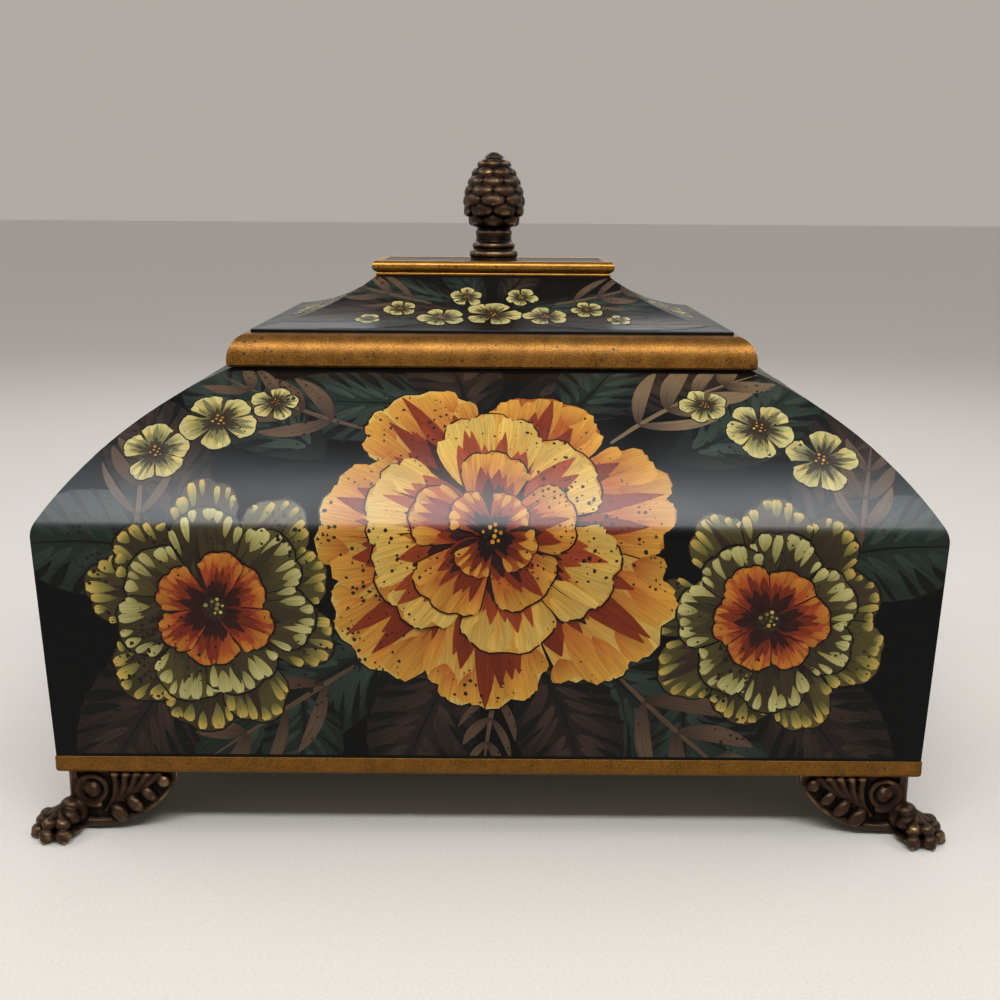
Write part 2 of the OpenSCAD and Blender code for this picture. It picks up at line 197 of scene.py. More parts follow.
def new_material(name):
    """An empty material: its tree, its shader, and the piece's own coordinates."""
    made = bpy.data.materials.new(name)
    made.use_nodes = True
    tree = made.node_tree
    shader = tree.nodes["Principled BSDF"]
    place = add(tree, "TexCoord").outputs["Object"]
    return made, tree, shader, place


def as_mesh(bm, name):
    """Turns a bmesh into a mesh and frees it."""
    mesh = bpy.data.meshes.new(name)
    bm.to_mesh(mesh)
    bm.free()
    return mesh


def finish_piece(bm, name, body, slot, material, sharp=28, replaces=()):
    """Turns a bmesh in millimetres into a piece that rides on its body, smooth but
    for the edges that are sharper than an angle."""
    bmesh.ops.scale(bm, vec=(MM, MM, MM), verts=bm.verts[:])
    mesh = as_mesh(bm, name)
    mesh.materials.append(material)
    mesh.polygons.foreach_set("use_smooth", [True] * len(mesh.polygons))
    if sharp:
        mesh.set_sharp_from_angle(angle=math.radians(sharp))
    piece = stand(name, mesh)
    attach(piece, body)
    if replaces:
        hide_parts(*replaces)
    return piece


def side_place(side):
    """Carries (along, setback, height) to the side's place round the casket."""
    across = CASE_D if TURNS[side] % 180 == 0 else CASE_W
    turn = Matrix.Rotation(math.radians(TURNS[side]), 4, "Z")
    return turn @ Matrix.Translation((0, -across / 2, 0))


def side_length(side):
    return CASE_W if TURNS[side] % 180 == 0 else CASE_D


def extrude(bm, faces):
    """Extrudes faces where they are and returns the points of their far end."""
    made = bmesh.ops.extrude_face_region(bm, geom=faces, use_keep_orig=True)["geom"]
    return [part for part in made if isinstance(part, bmesh.types.BMVert)]


def mitred_strip(outline, side):
    """An outline run along one side, from mitre to mitre."""
    bm = bmesh.new()
    half = side_length(side) / 2
    end = bm.faces.new([bm.verts.new((s - half, s, z)) for s, z in outline])
    for vert in extrude(bm, [end]):
        vert.co.x = -vert.co.x
    bmesh.ops.recalc_face_normals(bm, faces=bm.faces[:])
    bmesh.ops.transform(bm, matrix=side_place(side), verts=bm.verts[:])
    return bm


def strips_round(outline, name, node, slot, material):
    """The same strip of the case on each of its four sides."""
    for side in TURNS:
        finish_piece(mitred_strip(outline, side), side + name, "case", slot, material,
                     replaces=[side + node])


# Black japan: near-black body colour under a satin varnish, whose brushed and
# stoved surface is faintly orange-peeled (about 3 mm) and finely pitted.
japan, tree, shader, place = new_material("black_japan_varnish")
peel = relief(tree, noise(tree, place, 330, 2), 0.05, 0.0004)
pits = relief(tree, noise(tree, place, 1900, 2), 0.3, 0.00015, peel)
sheen_patches = noise(tree, place, 22, 3)
feed(tree, shader, {
    "Base Color": linear("#060606"), "IOR": 1.52, "Specular IOR Level": 0.1,
    "Roughness": remap(tree, sheen_patches, 0.35, 0.65, 0.3, 0.4), "Normal": pits,
})

under = (SHOULDER_RUN + SHEET * math.tan(math.radians(SHOULDER_HIGH / 2)), LEDGE_Z - SHEET)
panel_outline = (
    side_skin()
    + [(MOUTH, LEDGE_Z), (MOUTH, LEDGE_Z - SHEET), under]
    + side_skin(SHEET)[-2::-1]
)
strips_round(panel_outline, "_panel_sheet", "_panel", "painted_tin", japan)


# Base band. Four mitred strips of gesso and gold leaf over wood, on which the
# walls stand. The leaf is toned down with brown wax and flecked with dark paint.

BAND_DEPTH, BAND_ROUND, BAND_PROUD = 16, 2.4, 0.4
BAND_S = wall_setback(BAND_TOP) - BAND_PROUD


def flecks(tree, place, spacing_mm, share):
    """Spattered dark flecks up to a millimetre across, denser in broad clouds: ragged
    cells, of which a share carries a blot of its own size."""
    ragged = add(tree, "TexNoise", {"Vector": place, "Scale": 900, "Detail": 2})
    bent = add(tree, "VectorMath", {0: ragged.outputs["Color"], 1: (0.0014,) * 3, 2: place},
               operation="MULTIPLY_ADD")
    cells = add(tree, "TexVoronoi", {"Vector": bent.outputs[0], "Scale": 1000 / spacing_mm})
    chance = add(tree, "SeparateColor", {"Color": cells.outputs["Color"]})
    drift = remap(tree, noise(tree, place, 28, 1), 0.3, 0.7, share - 1.5, share - 0.7)
    size = add(tree, "Math", {0: chance.outputs[0], 1: drift}, operation="ADD")
    radius = remap(tree, size.outputs[0], 0, 1, 0, 0.55)
    over = add(tree, "Math", {0: radius, 1: cells.outputs["Distance"]}, operation="SUBTRACT")
    return remap(tree, over.outputs[0], 0, 0.04)


def gold_leaf(name, deep, bright, roughness, share):
    """Gold leaf under a brown wax: gesso grain of half a millimetre, rubbed patches."""
    made, tree, shader, place = new_material(name)
    grain, rubbed = noise(tree, place, 2000, 3), noise(tree, place, 140, 4)
    wear = add(tree, "Math", {0: rubbed, 1: 0.4, 2: grain}, operation="MULTIPLY_ADD")
    foil = two_tone(tree, remap(tree, wear.outputs[0], 0.5, 0.9), deep, bright)
    spots = flecks(tree, place, 2.6, share)
    feed(tree, shader, {
        "Base Color": two_tone(tree, spots, foil, "#3A1A0C"), "Roughness": roughness,
        "Metallic": remap(tree, spots, 0, 1, 0.82, 0.1),
        "Normal": relief(tree, grain, 0.25, 0.0002),
    })
    return made


dull_gold = gold_leaf("gold_leaf_waxed", "#54370E", "#865B1F", 0.52, 0.42)
band_outline = [
    (BAND_S + 0.15, BAND_TOP), (BAND_S + BAND_DEPTH, BAND_TOP), (BAND_S + BAND_DEPTH, FOOT_H),
] + arc((BAND_S + BAND_ROUND, FOOT_H + BAND_ROUND), BAND_ROUND, 270, 180, 8) + [
    (BAND_S, BAND_TOP - 0.15),
]
strips_round(band_outline, "_band_gilt", "_band", "gilt_wood", dull_gold)


# Painting on the case. Flowers and leaves in oil colours over the stoved japan,
# laid stroke on stroke. Each stroke is its own thin closed film that follows the
# panel, a hundredth of a millimetre above whatever strokes it crosses.

COAT = 0.012
FILM_ROOT = 0.08
MITRE_GAP = 0.3
CELL, CELLS, MIDDLE_CELL = 0.8, (620, 420), (310, 60)
PANEL_MARGINS, COVE_MARGINS = (1.5, 3.4), (2.2, 1.2)
LONG, BROAD, FINE = (13, 3), (7, 13), (7, 2)
PALETTE = {
    "line": "#0B0707", "plum": "#180D0C", "maroon": "#30110E", "ember": "#4E180D",
    "rust": "#6C2710", "vermilion": "#853718", "orange": "#92491A", "amber": "#A06722",
    "yellow": "#AF7F30", "straw": "#AF9148", "umber": "#241B12", "olive": "#352E1A",
    "moss": "#484220", "chartreuse": "#6E6732", "cream": "#A49C66", "sage": "#6B6846",
    "night": "#080A09", "pine": "#19211C", "fern": "#27312A", "bark": "#1E1613",
    "cocoa": "#2F231C", "tan": "#4A392B", "buff": "#62503A",
}
TINTS = {name: np.array(linear(code)[:3]) for name, code in PALETTE.items()}
dice = random.Random(11)


def vary(share):
    return 1 + dice.uniform(-share, share)


class Petal:
    """A petal or leaf laid out flat: a curved midrib, and a width that swells and
    closes. Places on it are a share of its length and a share of its half width."""

    grid = LONG

    def __init__(self, root, heading, length, half_width, curl=0.0, swell=0.8, blunt=5.0,
                 close=0.5):
        self.root, self.heading, self.length = np.array(root, float), heading, length
        self.half_width, self.curl = half_width, curl if abs(curl) > 1e-3 else 1e-3
        self.shape = (swell, blunt, close)
        t = np.linspace(0, 1, 60)
        self.peak = (t**swell * (1 - t**blunt) ** close).max()

    def grown(self, edge):
        """The same petal with a margin of that many millimetres all round."""
        bigger = copy.copy(self)
        start = self.heading - self.curl / 2
        bigger.root = self.root - edge * np.array([math.cos(start), math.sin(start)])
        bigger.length, bigger.half_width = self.length + 2 * edge, self.half_width + edge
        return bigger

    def at(self, t, v):
        swell, blunt, close = self.shape
        turn = self.heading + self.curl * (t - 0.5)
        start = self.heading - self.curl / 2
        rib = np.stack([np.sin(turn) - math.sin(start), math.cos(start) - np.cos(turn)], -1)
        rib = self.root + self.length * rib / self.curl
        width = self.half_width * t**swell * np.maximum(0, 1 - t**blunt) ** close / self.peak
        aside = np.stack([-np.sin(turn), np.cos(turn)], -1)
        return rib + aside * (v * width)[..., None]


class FanPetal(Petal):
    """A broad petal that fans out from its root to a scalloped rim."""

    grid = BROAD

    def __init__(self, root, heading, length, half_width, curl, scallops, depth=0.06):
        super().__init__(root, heading, length, half_width, curl, 0.66, 1, 0)
        self.scallops, self.depth, self.phase = scallops, depth, dice.uniform(-0.3, 0.3)

    def at(self, t, v):
        notch = 1 - np.abs(np.cos(self.scallops * np.pi * (v + self.phase) / 2))
        rim = 1 - 0.3 * np.abs(v) ** 2.4 - self.depth * notch**2
        return super().at(t * rim, v)


def blend_tints(names, t):
    """A run of named tints spread evenly over 0 to 1."""
    stops = np.linspace(0, 1, len(names))
    return np.stack([np.interp(t, stops, [TINTS[n][k] for n in names]) for k in range(3)], -1)


def petal_film(films, petal, tints, shade=1.0):
    """The body colour of a whole petal."""
    stations, across = petal.grid
    t = (1 - np.cos(np.linspace(0, np.pi, stations))) / 2
    tt, vv = np.meshgrid(t, np.linspace(-1, 1, across), indexing="ij")
    films.append((petal.at(tt, vv), blend_tints(tints, tt) * shade))


def streak_film(films, petal, start, end, width, tints, shade=1.0, belly=0.3):
    """One brush stroke on a petal between two places, fat near its start."""
    q = np.linspace(0, 1, FINE[0])
    t = start[0] + (end[0] - start[0]) * q
    v = start[1] + (end[1] - start[1]) * q
    line = petal.at(np.clip(t, 0.01, 0.995), v)
    along = np.gradient(line, axis=0)
    along /= np.linalg.norm(along, axis=1)[:, None] + 1e-9
    aside = np.stack([-along[:, 1], along[:, 0]], -1)
    fat = (q + 0.02) ** belly * (1 - q) ** 0.75
    fat = np.maximum(fat / fat.max(), 0.06) * width / 2
    edge = np.stack([line - aside * fat[:, None], line + aside * fat[:, None]], 1)
    tint = blend_tints(tints, q) * shade
    films.append((edge, np.repeat(tint[:, None, :], 2, axis=1)))


def feathered_petal(films, petal, body, lights, flames, roots, rim, line_w, count):
    """A petal as it is painted: dark edge, body colour, pale feathering that reaches
    in from the rim, then flames and darker spikes that leap up from the root."""
    petal_film(films, petal.grown(line_w), ["line", "line"])
    petal_film(films, petal, body, vary(0.1))
    size = petal.half_width
    for i in range(count + 1):
        v = -0.9 + 1.8 * i / count + dice.uniform(-0.07, 0.07)
        streak_film(films, petal, (0.985, v * 0.96), (0.94 - rim * vary(0.6), v * 0.94),
                    (0.16 + 0.3 * rim) * size * vary(0.4), lights, vary(0.14))
    for tints, reach, width in ((flames, 0.8, 0.3), (roots, 0.52, 0.26)):
        for i in range(count):
            v = -0.86 + 1.72 * (i + 0.5) / count + dice.uniform(-0.08, 0.08)
            top = reach * vary(0.3) * (1 - 0.3 * abs(v))
            streak_film(films, petal, (0.03, v * 0.8), (top, v), width * size * vary(0.3),
                        tints, vary(0.15), belly=0.55)
    for _ in range(2):
        v, low = dice.uniform(-0.7, 0.7), dice.uniform(0.3, 0.5)
        streak_film(films, petal, (low, v), (low + dice.uniform(0.2, 0.35), v), 0.45,
                    [roots[0], flames[0]])


def whorl(films, centre, count, inner, outer, half_width, turn, bodies, lights, flames,
          roots, rim=0.32, curl=0.3, lanes=6, scallops=3, line_w=0.8):
    """One ring of petals, every second one tucked behind its neighbours."""
    for i in list(range(0, count, 2)) + list(range(1, count, 2)):
        heading = turn + math.tau * i / count + dice.uniform(-0.12, 0.12)
        root = (centre[0] + inner * math.cos(heading), centre[1] + inner * math.sin(heading))
        petal = FanPetal(root, heading, (outer - inner) * vary(0.1), half_width * vary(0.14),
                         dice.uniform(-curl, curl), scallops)
        feathered_petal(films, petal, dice.choice(bodies), lights, flames, roots, rim,
                        line_w, lanes)


def dot(films, centre, radius, tint):
    petal = Petal((centre[0] - radius, centre[1]), 0, 2 * radius, radius, 0, 0.5, 1.0, 0.5)
    petal_film(films, petal, [tint, tint], vary(0.15))


def heart(films, centre, radius, ground, tints, count):
    """The eye of a flower: a dark ground with dabs in rings."""
    dot(films, centre, radius, ground)
    for i in range(count):
        a = i * 2.4
        r = radius * 0.82 * math.sqrt((i + 0.5) / count)
        at = (centre[0] + r * math.cos(a), centre[1] + r * math.sin(a))
        dot(films, at, radius * 0.13 * vary(0.3), tints[i % len(tints)])


def amber_bloom(films, centre, radius, turn=0.2):
    """The large flower: broad amber and orange petals with maroon flames."""
    warm = [["rust", "orange", "amber"], ["ember", "orange", "orange"],
            ["vermilion", "vermilion", "orange"], ["rust", "amber", "straw"]]
    whorl(films, centre, 7, 0.12 * radius, radius, 0.47 * radius, turn, warm,
          ["yellow", "orange"], ["ember", "rust"], ["plum", "maroon"], lanes=9, scallops=4)
    whorl(films, centre, 6, 0.08 * radius, 0.72 * radius, 0.36 * radius, turn + 0.4,
          [["rust", "amber", "yellow"], ["vermilion", "orange", "amber"]],
          ["straw", "yellow"], ["ember", "vermilion"], ["plum", "maroon"], rim=0.4, lanes=8)
    whorl(films, centre, 5, 0.04 * radius, 0.46 * radius, 0.25 * radius, turn + 0.1,
          [["ember", "orange", "amber"], ["rust", "vermilion", "orange"]],
          ["yellow", "orange"], ["ember", "rust"], ["plum", "maroon"], lanes=6)
    whorl(films, centre, 4, 0.02 * radius, 0.25 * radius, 0.14 * radius, turn + 0.7,
          [["maroon", "rust", "orange"]], ["yellow", "amber"], ["maroon", "rust"],
          ["plum", "plum"], lanes=4, line_w=0.5)
    heart(films, centre, 0.07 * radius, "plum", ["yellow", "umber", "amber"], 12)


def olive_bloom(films, centre, radius, turn=0.0):
    """A flanking flower: brown olive petals with pale tips, a red-orange middle."""
    dull = [["umber", "olive", "olive"], ["bark", "umber", "olive"], ["umber", "olive", "moss"]]
    whorl(films, centre, 9, 0.14 * radius, radius, 0.36 * radius, turn, dull,
          ["straw", "chartreuse", "moss"], ["umber", "cocoa"], ["plum", "bark"], rim=0.14,
          lanes=6, scallops=2)
    whorl(films, centre, 7, 0.1 * radius, 0.76 * radius, 0.34 * radius, turn + 0.4, dull,
          ["cream", "chartreuse"], ["umber", "olive"], ["plum", "umber"], rim=0.22,
          lanes=6, scallops=2)
    whorl(films, centre, 6, 0.05 * radius, 0.48 * radius, 0.24 * radius, turn + 0.2,
          [["rust", "vermilion", "orange"], ["ember", "vermilion", "vermilion"]],
          ["amber", "orange"], ["ember", "rust"], ["plum", "maroon"], rim=0.25, lanes=6)
    heart(films, centre, 0.1 * radius, "umber", ["chartreuse", "olive", "straw"], 12)


def pale_blossom(films, centre, radius, turn=0.0):
    """A small pale blossom of five petals with a brown and ochre eye."""
    whorl(films, centre, 5, 0.1 * radius, radius, 0.5 * radius, turn,
          [["moss", "sage", "cream"], ["moss", "chartreuse", "cream"]], ["cream", "straw"],
          ["moss", "sage"], ["umber", "olive"], curl=0.1, lanes=3, scallops=2, line_w=0.6)
    heart(films, centre, 0.24 * radius, "umber", ["yellow", "amber"], 7)


def leaf(films, root, heading, length, half_width, kind):
    """A broad dark leaf: its margin is cut into by dark spikes, its body carries
    paler flames that lean towards the tip, and the midrib is a dark line."""
    body, flames, spikes = {
        "pine": (["night", "pine", "pine"], ["fern", "pine"], "night"),
        "bark": (["night", "bark", "bark"], ["cocoa", "bark"], "night"),
        "buff": (["umber", "tan", "umber"], ["buff", "tan"], "umber"),
    }[kind]
    petal = Petal(root, heading, length, half_width, dice.uniform(-0.9, 0.9), 0.7, 1.8, 0.8)
    petal_film(films, petal, body, vary(0.15))
    pairs = max(4, int(length / 12))
    for i in range(pairs):
        for v in (-1, 1):
            t = 0.1 + 0.68 * (i + dice.random() * 0.5) / pairs
            streak_film(films, petal, (t, 0.12 * v), (t + 0.24, 0.85 * v),
                        0.2 * half_width * vary(0.4), flames, vary(0.25), belly=0.5)
            streak_film(films, petal, (t + 0.14, 1.02 * v), (t + 0.02, 0.4 * v),
                        0.14 * half_width * vary(0.5), [spikes, spikes])
    streak_film(films, petal, (0.02, 0), (0.94, 0), 1.1, [spikes, spikes])


def comma(films, root, heading, length, width, bend, tints):
    """One tapering comma stroke of a loaded brush."""
    stroke = Petal(root, heading, length, width / 2, bend, 0.6, 1.6, 0.9)
    petal_film(films, stroke, tints, vary(0.15))


def sprig(films, root, heading, length, count, tint):
    """A thin stem with comma strokes in pairs."""
    stem = Petal(root, heading, length, 1, dice.uniform(-0.5, 0.5))
    streak_film(films, stem, (0.01, 0), (0.99, 0), 2.2, [tint, tint])
    for i in range(count):
        t = 0.2 + 0.75 * i / count
        for v in (-1, 1):
            at = stem.at(np.array(t), np.array(0.0))
            turn = heading + stem.curl * (t - 0.5) + v * 0.55 * vary(0.2)
            comma(films, at, turn, length * 0.42 * (1.2 - t) * vary(0.2) + 6,
                  length * 0.085 * vary(0.25), -v * 0.6, ["cocoa", tint, tint])


def stack(films):
    """The coat number of each film: one above the highest coat that it crosses."""
    ground = np.zeros(CELLS, np.int16)
    coats = []
    for xy, _ in films:
        spans = np.linalg.norm(xy[:, -1] - xy[:, 0], axis=1).max()
        along = np.linspace(0, xy.shape[0] - 1, 6 * xy.shape[0])
        across = np.linspace(0, xy.shape[1] - 1, 3 + int(spans / (0.7 * CELL)))
        i, j = np.floor(along).astype(int), np.floor(across).astype(int)
        i, j = np.minimum(i, xy.shape[0] - 2), np.minimum(j, xy.shape[1] - 2)
        a, b = (along - i)[:, None, None], (across - j)[None, :, None]
        spread = sum(
            near_i * near_j * xy[np.ix_(i + di, j + dj)]
            for dj, near_j in ((0, 1 - b), (1, b)) for di, near_i in ((0, 1 - a), (1, a))
        )
        cells = np.floor(spread.reshape(-1, 2) / CELL).astype(int) + MIDDLE_CELL
        u, v = np.clip(cells, 0, np.array(CELLS) - 1).T
        coat = int(ground[u, v].max()) + 1
        ground[u, v] = coat
        coats.append(coat)
    return coats


def strips(films, coats, size):
    """Flat strips for the films of one size, cut apart from a single grid."""
    picked = [(f, c) for f, c in zip(films, coats) if f[0].shape[:2] == size]
    stations, across = size
    bm = bmesh.new()
    bmesh.ops.create_grid(
        bm, x_segments=stations - 1, y_segments=len(picked) * across - 1, size=1
    )
    gaps = [f for i, f in enumerate(bm.faces) if i // (stations - 1) % across == across - 1]
    bmesh.ops.delete(bm, geom=gaps, context="FACES")
    mesh = as_mesh(bm, "strips")
    flat = [np.dstack([f[0], np.full(size, c * COAT)]).transpose(1, 0, 2) for f, c in picked]
    tint = [np.dstack([f[1], np.ones(size)]).transpose(1, 0, 2) for f, c in picked]
    brush = []
    for f, _ in picked:
        step = np.linalg.norm(np.diff(f[0].mean(axis=1), axis=0), axis=1)
        u = np.concatenate([[0], np.cumsum(step)])[None, :].repeat(across, 0)
        v = np.linspace(-0.5, 0.5, across)[:, None] * np.linalg.norm(
            f[0][:, -1] - f[0][:, 0], axis=1)[None, :]
        brush.append(np.dstack([u, v, np.full(u.shape, dice.uniform(0, 900))]))
    mesh.vertices.foreach_set("co", np.concatenate(flat).astype(np.float32).ravel())
    for name, kind, key, rows in (
        ("tint", "FLOAT_COLOR", "color", tint), ("brush", "FLOAT_VECTOR", "vector", brush),
        ("reach", "FLOAT", "value", [points[:, :, 1] for points in flat]),
    ):
        layer = mesh.attributes.new(name, kind, "POINT")
        layer.data.foreach_set(key, np.concatenate(rows).astype(np.float32).ravel())
    return mesh


def cut(bm, point, normal, drop=False):
    """Cuts the films at a plane."""
    bmesh.ops.bisect_plane(
        bm, geom=bm.verts[:] + bm.edges[:] + bm.faces[:], dist=1e-5, plane_co=point,
        plane_no=normal, clear_outer=drop,
    )


def cut_away(bm, point, normal):
    """Cuts the films at a plane, drops what lies beyond it and closes the cuts."""
    cut(bm, point, normal, drop=True)
    bmesh.ops.holes_fill(bm, edges=[e for e in bm.edges if e.is_boundary], sides=0)


def fetch(rows, key, width, kind=np.float32):
    """One field of a mesh's rows, as an array of that width."""
    values = np.zeros(len(rows) * width, kind)
    rows.foreach_get(key, values)
    return values.reshape(-1, width)


def lay_films(films, coats, name, sides, skin, margins, body):
    """Thickens the strips, bends them over a panel and mitres them at its ends, then
    puts the same films on each of the sides. The margins below and above stay bare."""
    bm = bmesh.new()
    for size in (LONG, BROAD, FINE):
        bm.from_mesh(strips(films, coats, size))
    for vert in extrude(bm, bm.faces[:]):
        vert.co.z = -FILM_ROOT
    bmesh.ops.recalc_face_normals(bm, faces=bm.faces[:])
    points = np.array(skin)
    steps = np.linalg.norm(np.diff(points, axis=0), axis=1)
    reach = np.concatenate([[0], np.cumsum(steps)])
    cut_away(bm, (0, margins[0], 0), (0, -1, 0))
    cut_away(bm, (0, reach[-1] - margins[1], 0), (0, 1, 0))
    for level in reach[1:-1]:
        cut(bm, (0, level, 0), (0, 1, 0))
    facing = np.diff(points, axis=0) / steps[:, None]
    facing = np.stack([-facing[:, 1], facing[:, 0]], axis=1)
    corner = np.concatenate([facing[:1], facing[:-1] + facing[1:], facing[-1:]])
    corner /= np.linalg.norm(corner, axis=1)[:, None]
    for vert in bm.verts:
        x, y, lift = vert.co
        s, z = (np.interp(y, reach, points[:, k]) + lift * np.interp(y, reach, corner[:, k])
                for k in (0, 1))
        vert.co = (x, s, z)
    half = side_length(sides[0]) / 2
    for sign in (-1, 1):
        cut_away(bm, (sign * (half - MITRE_GAP), 0, 0), (sign, 1, 0))
    for side in sides:
        placed = bm.copy()
        bmesh.ops.transform(placed, matrix=side_place(side), verts=placed.verts[:])
        mesh = finish_piece(
            placed, f"{side}_{name}", body, "painted_tin", oil_paint, sharp=0).data
        at = fetch(mesh.attributes["reach"].data, "value", 1)[:, 0]
        out, up = (np.interp(at, reach, corner[:, k]) for k in (0, 1))
        turn = math.radians(TURNS[side])
        mesh.normals_split_custom_set_from_vertices(
            np.stack([-math.sin(turn) * out, math.cos(turn) * out, up], axis=1))
    bm.free()


def lay_painting(painting, place, sides, skin, margins, body):
    """Lays the parts of a painting one over the other, each as a piece of its own."""
    coats = stack([film for films in painting.values() for film in films])
    for part, films in painting.items():
        if films:
            lay_films(films, coats, f"{place}_{part}", sides, skin, margins, body)
            coats = coats[len(films):]


# Oil paint: opaque artists' colours under the same satin varnish as the ground,
# with faint bristle marks about 0.6 mm apart along each stroke.
oil_paint, tree, shader, place = new_material("artists_oil_paint")
tint = add(tree, "Attribute", attribute_name="tint").outputs["Color"]
brush = add(tree, "Attribute", attribute_name="brush").outputs["Vector"]
drawn = add(tree, "Mapping", {"Vector": brush, "Scale": (0.06, 1.6, 1)}).outputs["Vector"]
bristle = noise(tree, drawn, 1, 3)
strength = remap(tree, bristle, 0.3, 0.7, 0.72, 1.2)
streaked = add(tree, "VectorMath", {0: tint, "Scale": strength}, operation="SCALE")
spots = flecks(tree, place, 2.4, 0.62)
feed(tree, shader, {
    "Base Color": two_tone(tree, spots, streaked.outputs["Vector"], "#1C130D"),
    "IOR": 1.52, "Specular IOR Level": 0.13, "Roughness": 0.34,
    "Normal": relief(tree, bristle, 0.1, 0.0002),
})


def spray(leaves, sprigs, blossoms, olives, ambers):
    """All the strokes of one panel from the ground up: first its leaves, sprigs and
    small blossoms, then the large blooms."""
    painting = {"spray": [], "blooms": []}
    for x, y, heading, length, half_width, kind in leaves:
        leaf(painting["spray"], (x, y), math.radians(heading), length, half_width, kind)
    for x, y, heading, length, count, tint in sprigs:
        sprig(painting["spray"], (x, y), math.radians(heading), length, count, tint)
    for part, bloom, places in (("spray", pale_blossom, blossoms), ("blooms", olive_bloom, olives),
                                ("blooms", amber_bloom, ambers)):
        for x, y, radius, turn in places:
            bloom(painting[part], (x, y), radius, turn)
    return painting


long_spray = spray(
    leaves=[
        (0, 172, 178, 112, 24, "pine"), (10, 170, 12, 108, 24, "bark"),
        (-12, 160, 110, 70, 22, "bark"), (30, 160, 60, 66, 20, "pine"),
        (-72, 140, 140, 92, 22, "pine"), (78, 140, 40, 92, 22, "pine"),
        (-30, 62, 212, 118, 27, "pine"), (34, 62, 322, 122, 27, "pine"),
        (-10, 52, 246, 76, 24, "bark"), (18, 50, 290, 72, 24, "bark"),
        (-118, 66, 236, 104, 26, "bark"), (118, 62, 306, 104, 26, "bark"),
        (-126, 90, 176, 84, 24, "pine"), (128, 90, 6, 84, 24, "pine"),
        (-130, 100, 118, 88, 22, "bark"), (132, 100, 64, 88, 22, "bark"),
        (-84, 38, 262, 62, 18, "pine"), (84, 36, 276, 62, 18, "pine"),
    ],
    sprigs=[
        (52, 148, 34, 88, 4, "buff"), (-56, 156, 152, 78, 4, "tan"),
        (-58, 44, 214, 84, 3, "tan"), (56, 40, 318, 84, 3, "tan"),
        (4, 40, 262, 46, 3, "tan"), (-150, 100, 96, 56, 3, "tan"), (156, 96, 78, 56, 3, "tan"),
    ],
    blossoms=[(-146, 142, 15, 0.4), (-121, 160, 17, 1.0), (144, 140, 16, 0.1),
              (119, 158, 16, 0.9), (-97, 172, 11, 0.2), (96, 172, 11, 0.6)],
    olives=[(-118, 70, 55, 0.3), (120, 66, 53, 0.9)],
    ambers=[(1, 103, 80, 0.25)],
)
lay_painting(long_spray, "panel", ("front", "back"), side_skin(), PANEL_MARGINS, "case")

short_spray = spray(
    leaves=[
        (0, 165, 170, 82, 22, "pine"), (8, 165, 14, 80, 22, "bark"),
        (-52, 130, 138, 84, 20, "bark"), (62, 132, 42, 84, 20, "pine"),
        (-34, 60, 214, 112, 26, "pine"), (36, 58, 322, 104, 26, "bark"),
        (-6, 50, 250, 70, 22, "bark"), (16, 50, 288, 66, 22, "pine"),
        (-96, 84, 176, 76, 22, "bark"), (98, 74, 4, 74, 22, "pine"),
        (-104, 60, 236, 82, 22, "pine"), (108, 54, 302, 78, 22, "bark"),
        (-100, 104, 112, 78, 20, "pine"), (104, 96, 70, 80, 20, "bark"),
    ],
    sprigs=[
        (44, 142, 38, 74, 4, "buff"), (-48, 146, 146, 70, 4, "tan"),
        (-46, 46, 216, 74, 3, "tan"), (46, 42, 316, 70, 3, "tan"), (0, 40, 268, 42, 3, "tan"),
    ],
    blossoms=[(-92, 142, 15, 0.4), (-70, 158, 12, 1.0), (92, 140, 15, 0.1), (70, 158, 12, 0.9)],
    olives=[(-92, 74, 42, 0.6), (96, 72, 42, 0.2)],
    ambers=[(0, 100, 66, 0.9)],
)
lay_painting(short_spray, "panel", ("right", "left"), side_skin(), PANEL_MARGINS, "case")


# Inside of the case. A tinned floor plate lies on the band strips, and a tinned
# collar soldered under the ledge stiffens the mouth. Both are bare bright tin.

# Hot-dipped tin: pale grey metal with soft spangles about 12 mm across
tin, tree, shader, place = new_material("hot_dipped_tin")
spangle = add(tree, "TexVoronoi", {"Vector": place, "Scale": 85}).outputs["Distance"]
stain = remap(tree, noise(tree, place, 30, 5), 0.4, 0.7)
feed(tree, shader, {
    "Base Color": two_tone(tree, stain, "#A6A59F", "#7C766A"), "Metallic": 1,
    "Roughness": remap(tree, spangle, 0, 1, 0.28, 0.5),
})


def refinish(node, material):
    """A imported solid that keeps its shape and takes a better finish."""
    piece = frame["nodes"][node]
    piece.data.materials.clear()
    piece.data.materials.append(material)


for node in ("floor_plate", "mouth_collar"):
    refinish(node, tin)


# Feet. Four brass castings with an antique bronze finish: two bracket wings with
# a volute, flutes and shrinking lobes, and a lion's paw set on the diagonal.

FOOT_S = BAND_S + 3.8
WING_LEN, WING_T, WING_GAP, FLANGE_T = 48.7, 4, 1.8, 3
HEEL, TIP_H = 11, 4
FACE_Y = 1.2
CAST_GRAIN = 0.42
RELIEF_ROUNDS = 40
CLEAR = 0.02


def ball_of_wax():
    """A ball of unit radius, copied for every lump and strand of the wax models."""
    bm = bmesh.new()
    bmesh.ops.create_icosphere(bm, subdivisions=3, radius=1)
    return as_mesh(bm, "ball_of_wax")


WAX_BALL = ball_of_wax()


def press(bm, matrix):
    """Presses one ball of wax on to the model, placed and stretched by a matrix."""
    ball = WAX_BALL.copy()
    ball.transform(matrix)
    bm.from_mesh(ball)
    bpy.data.meshes.remove(ball)


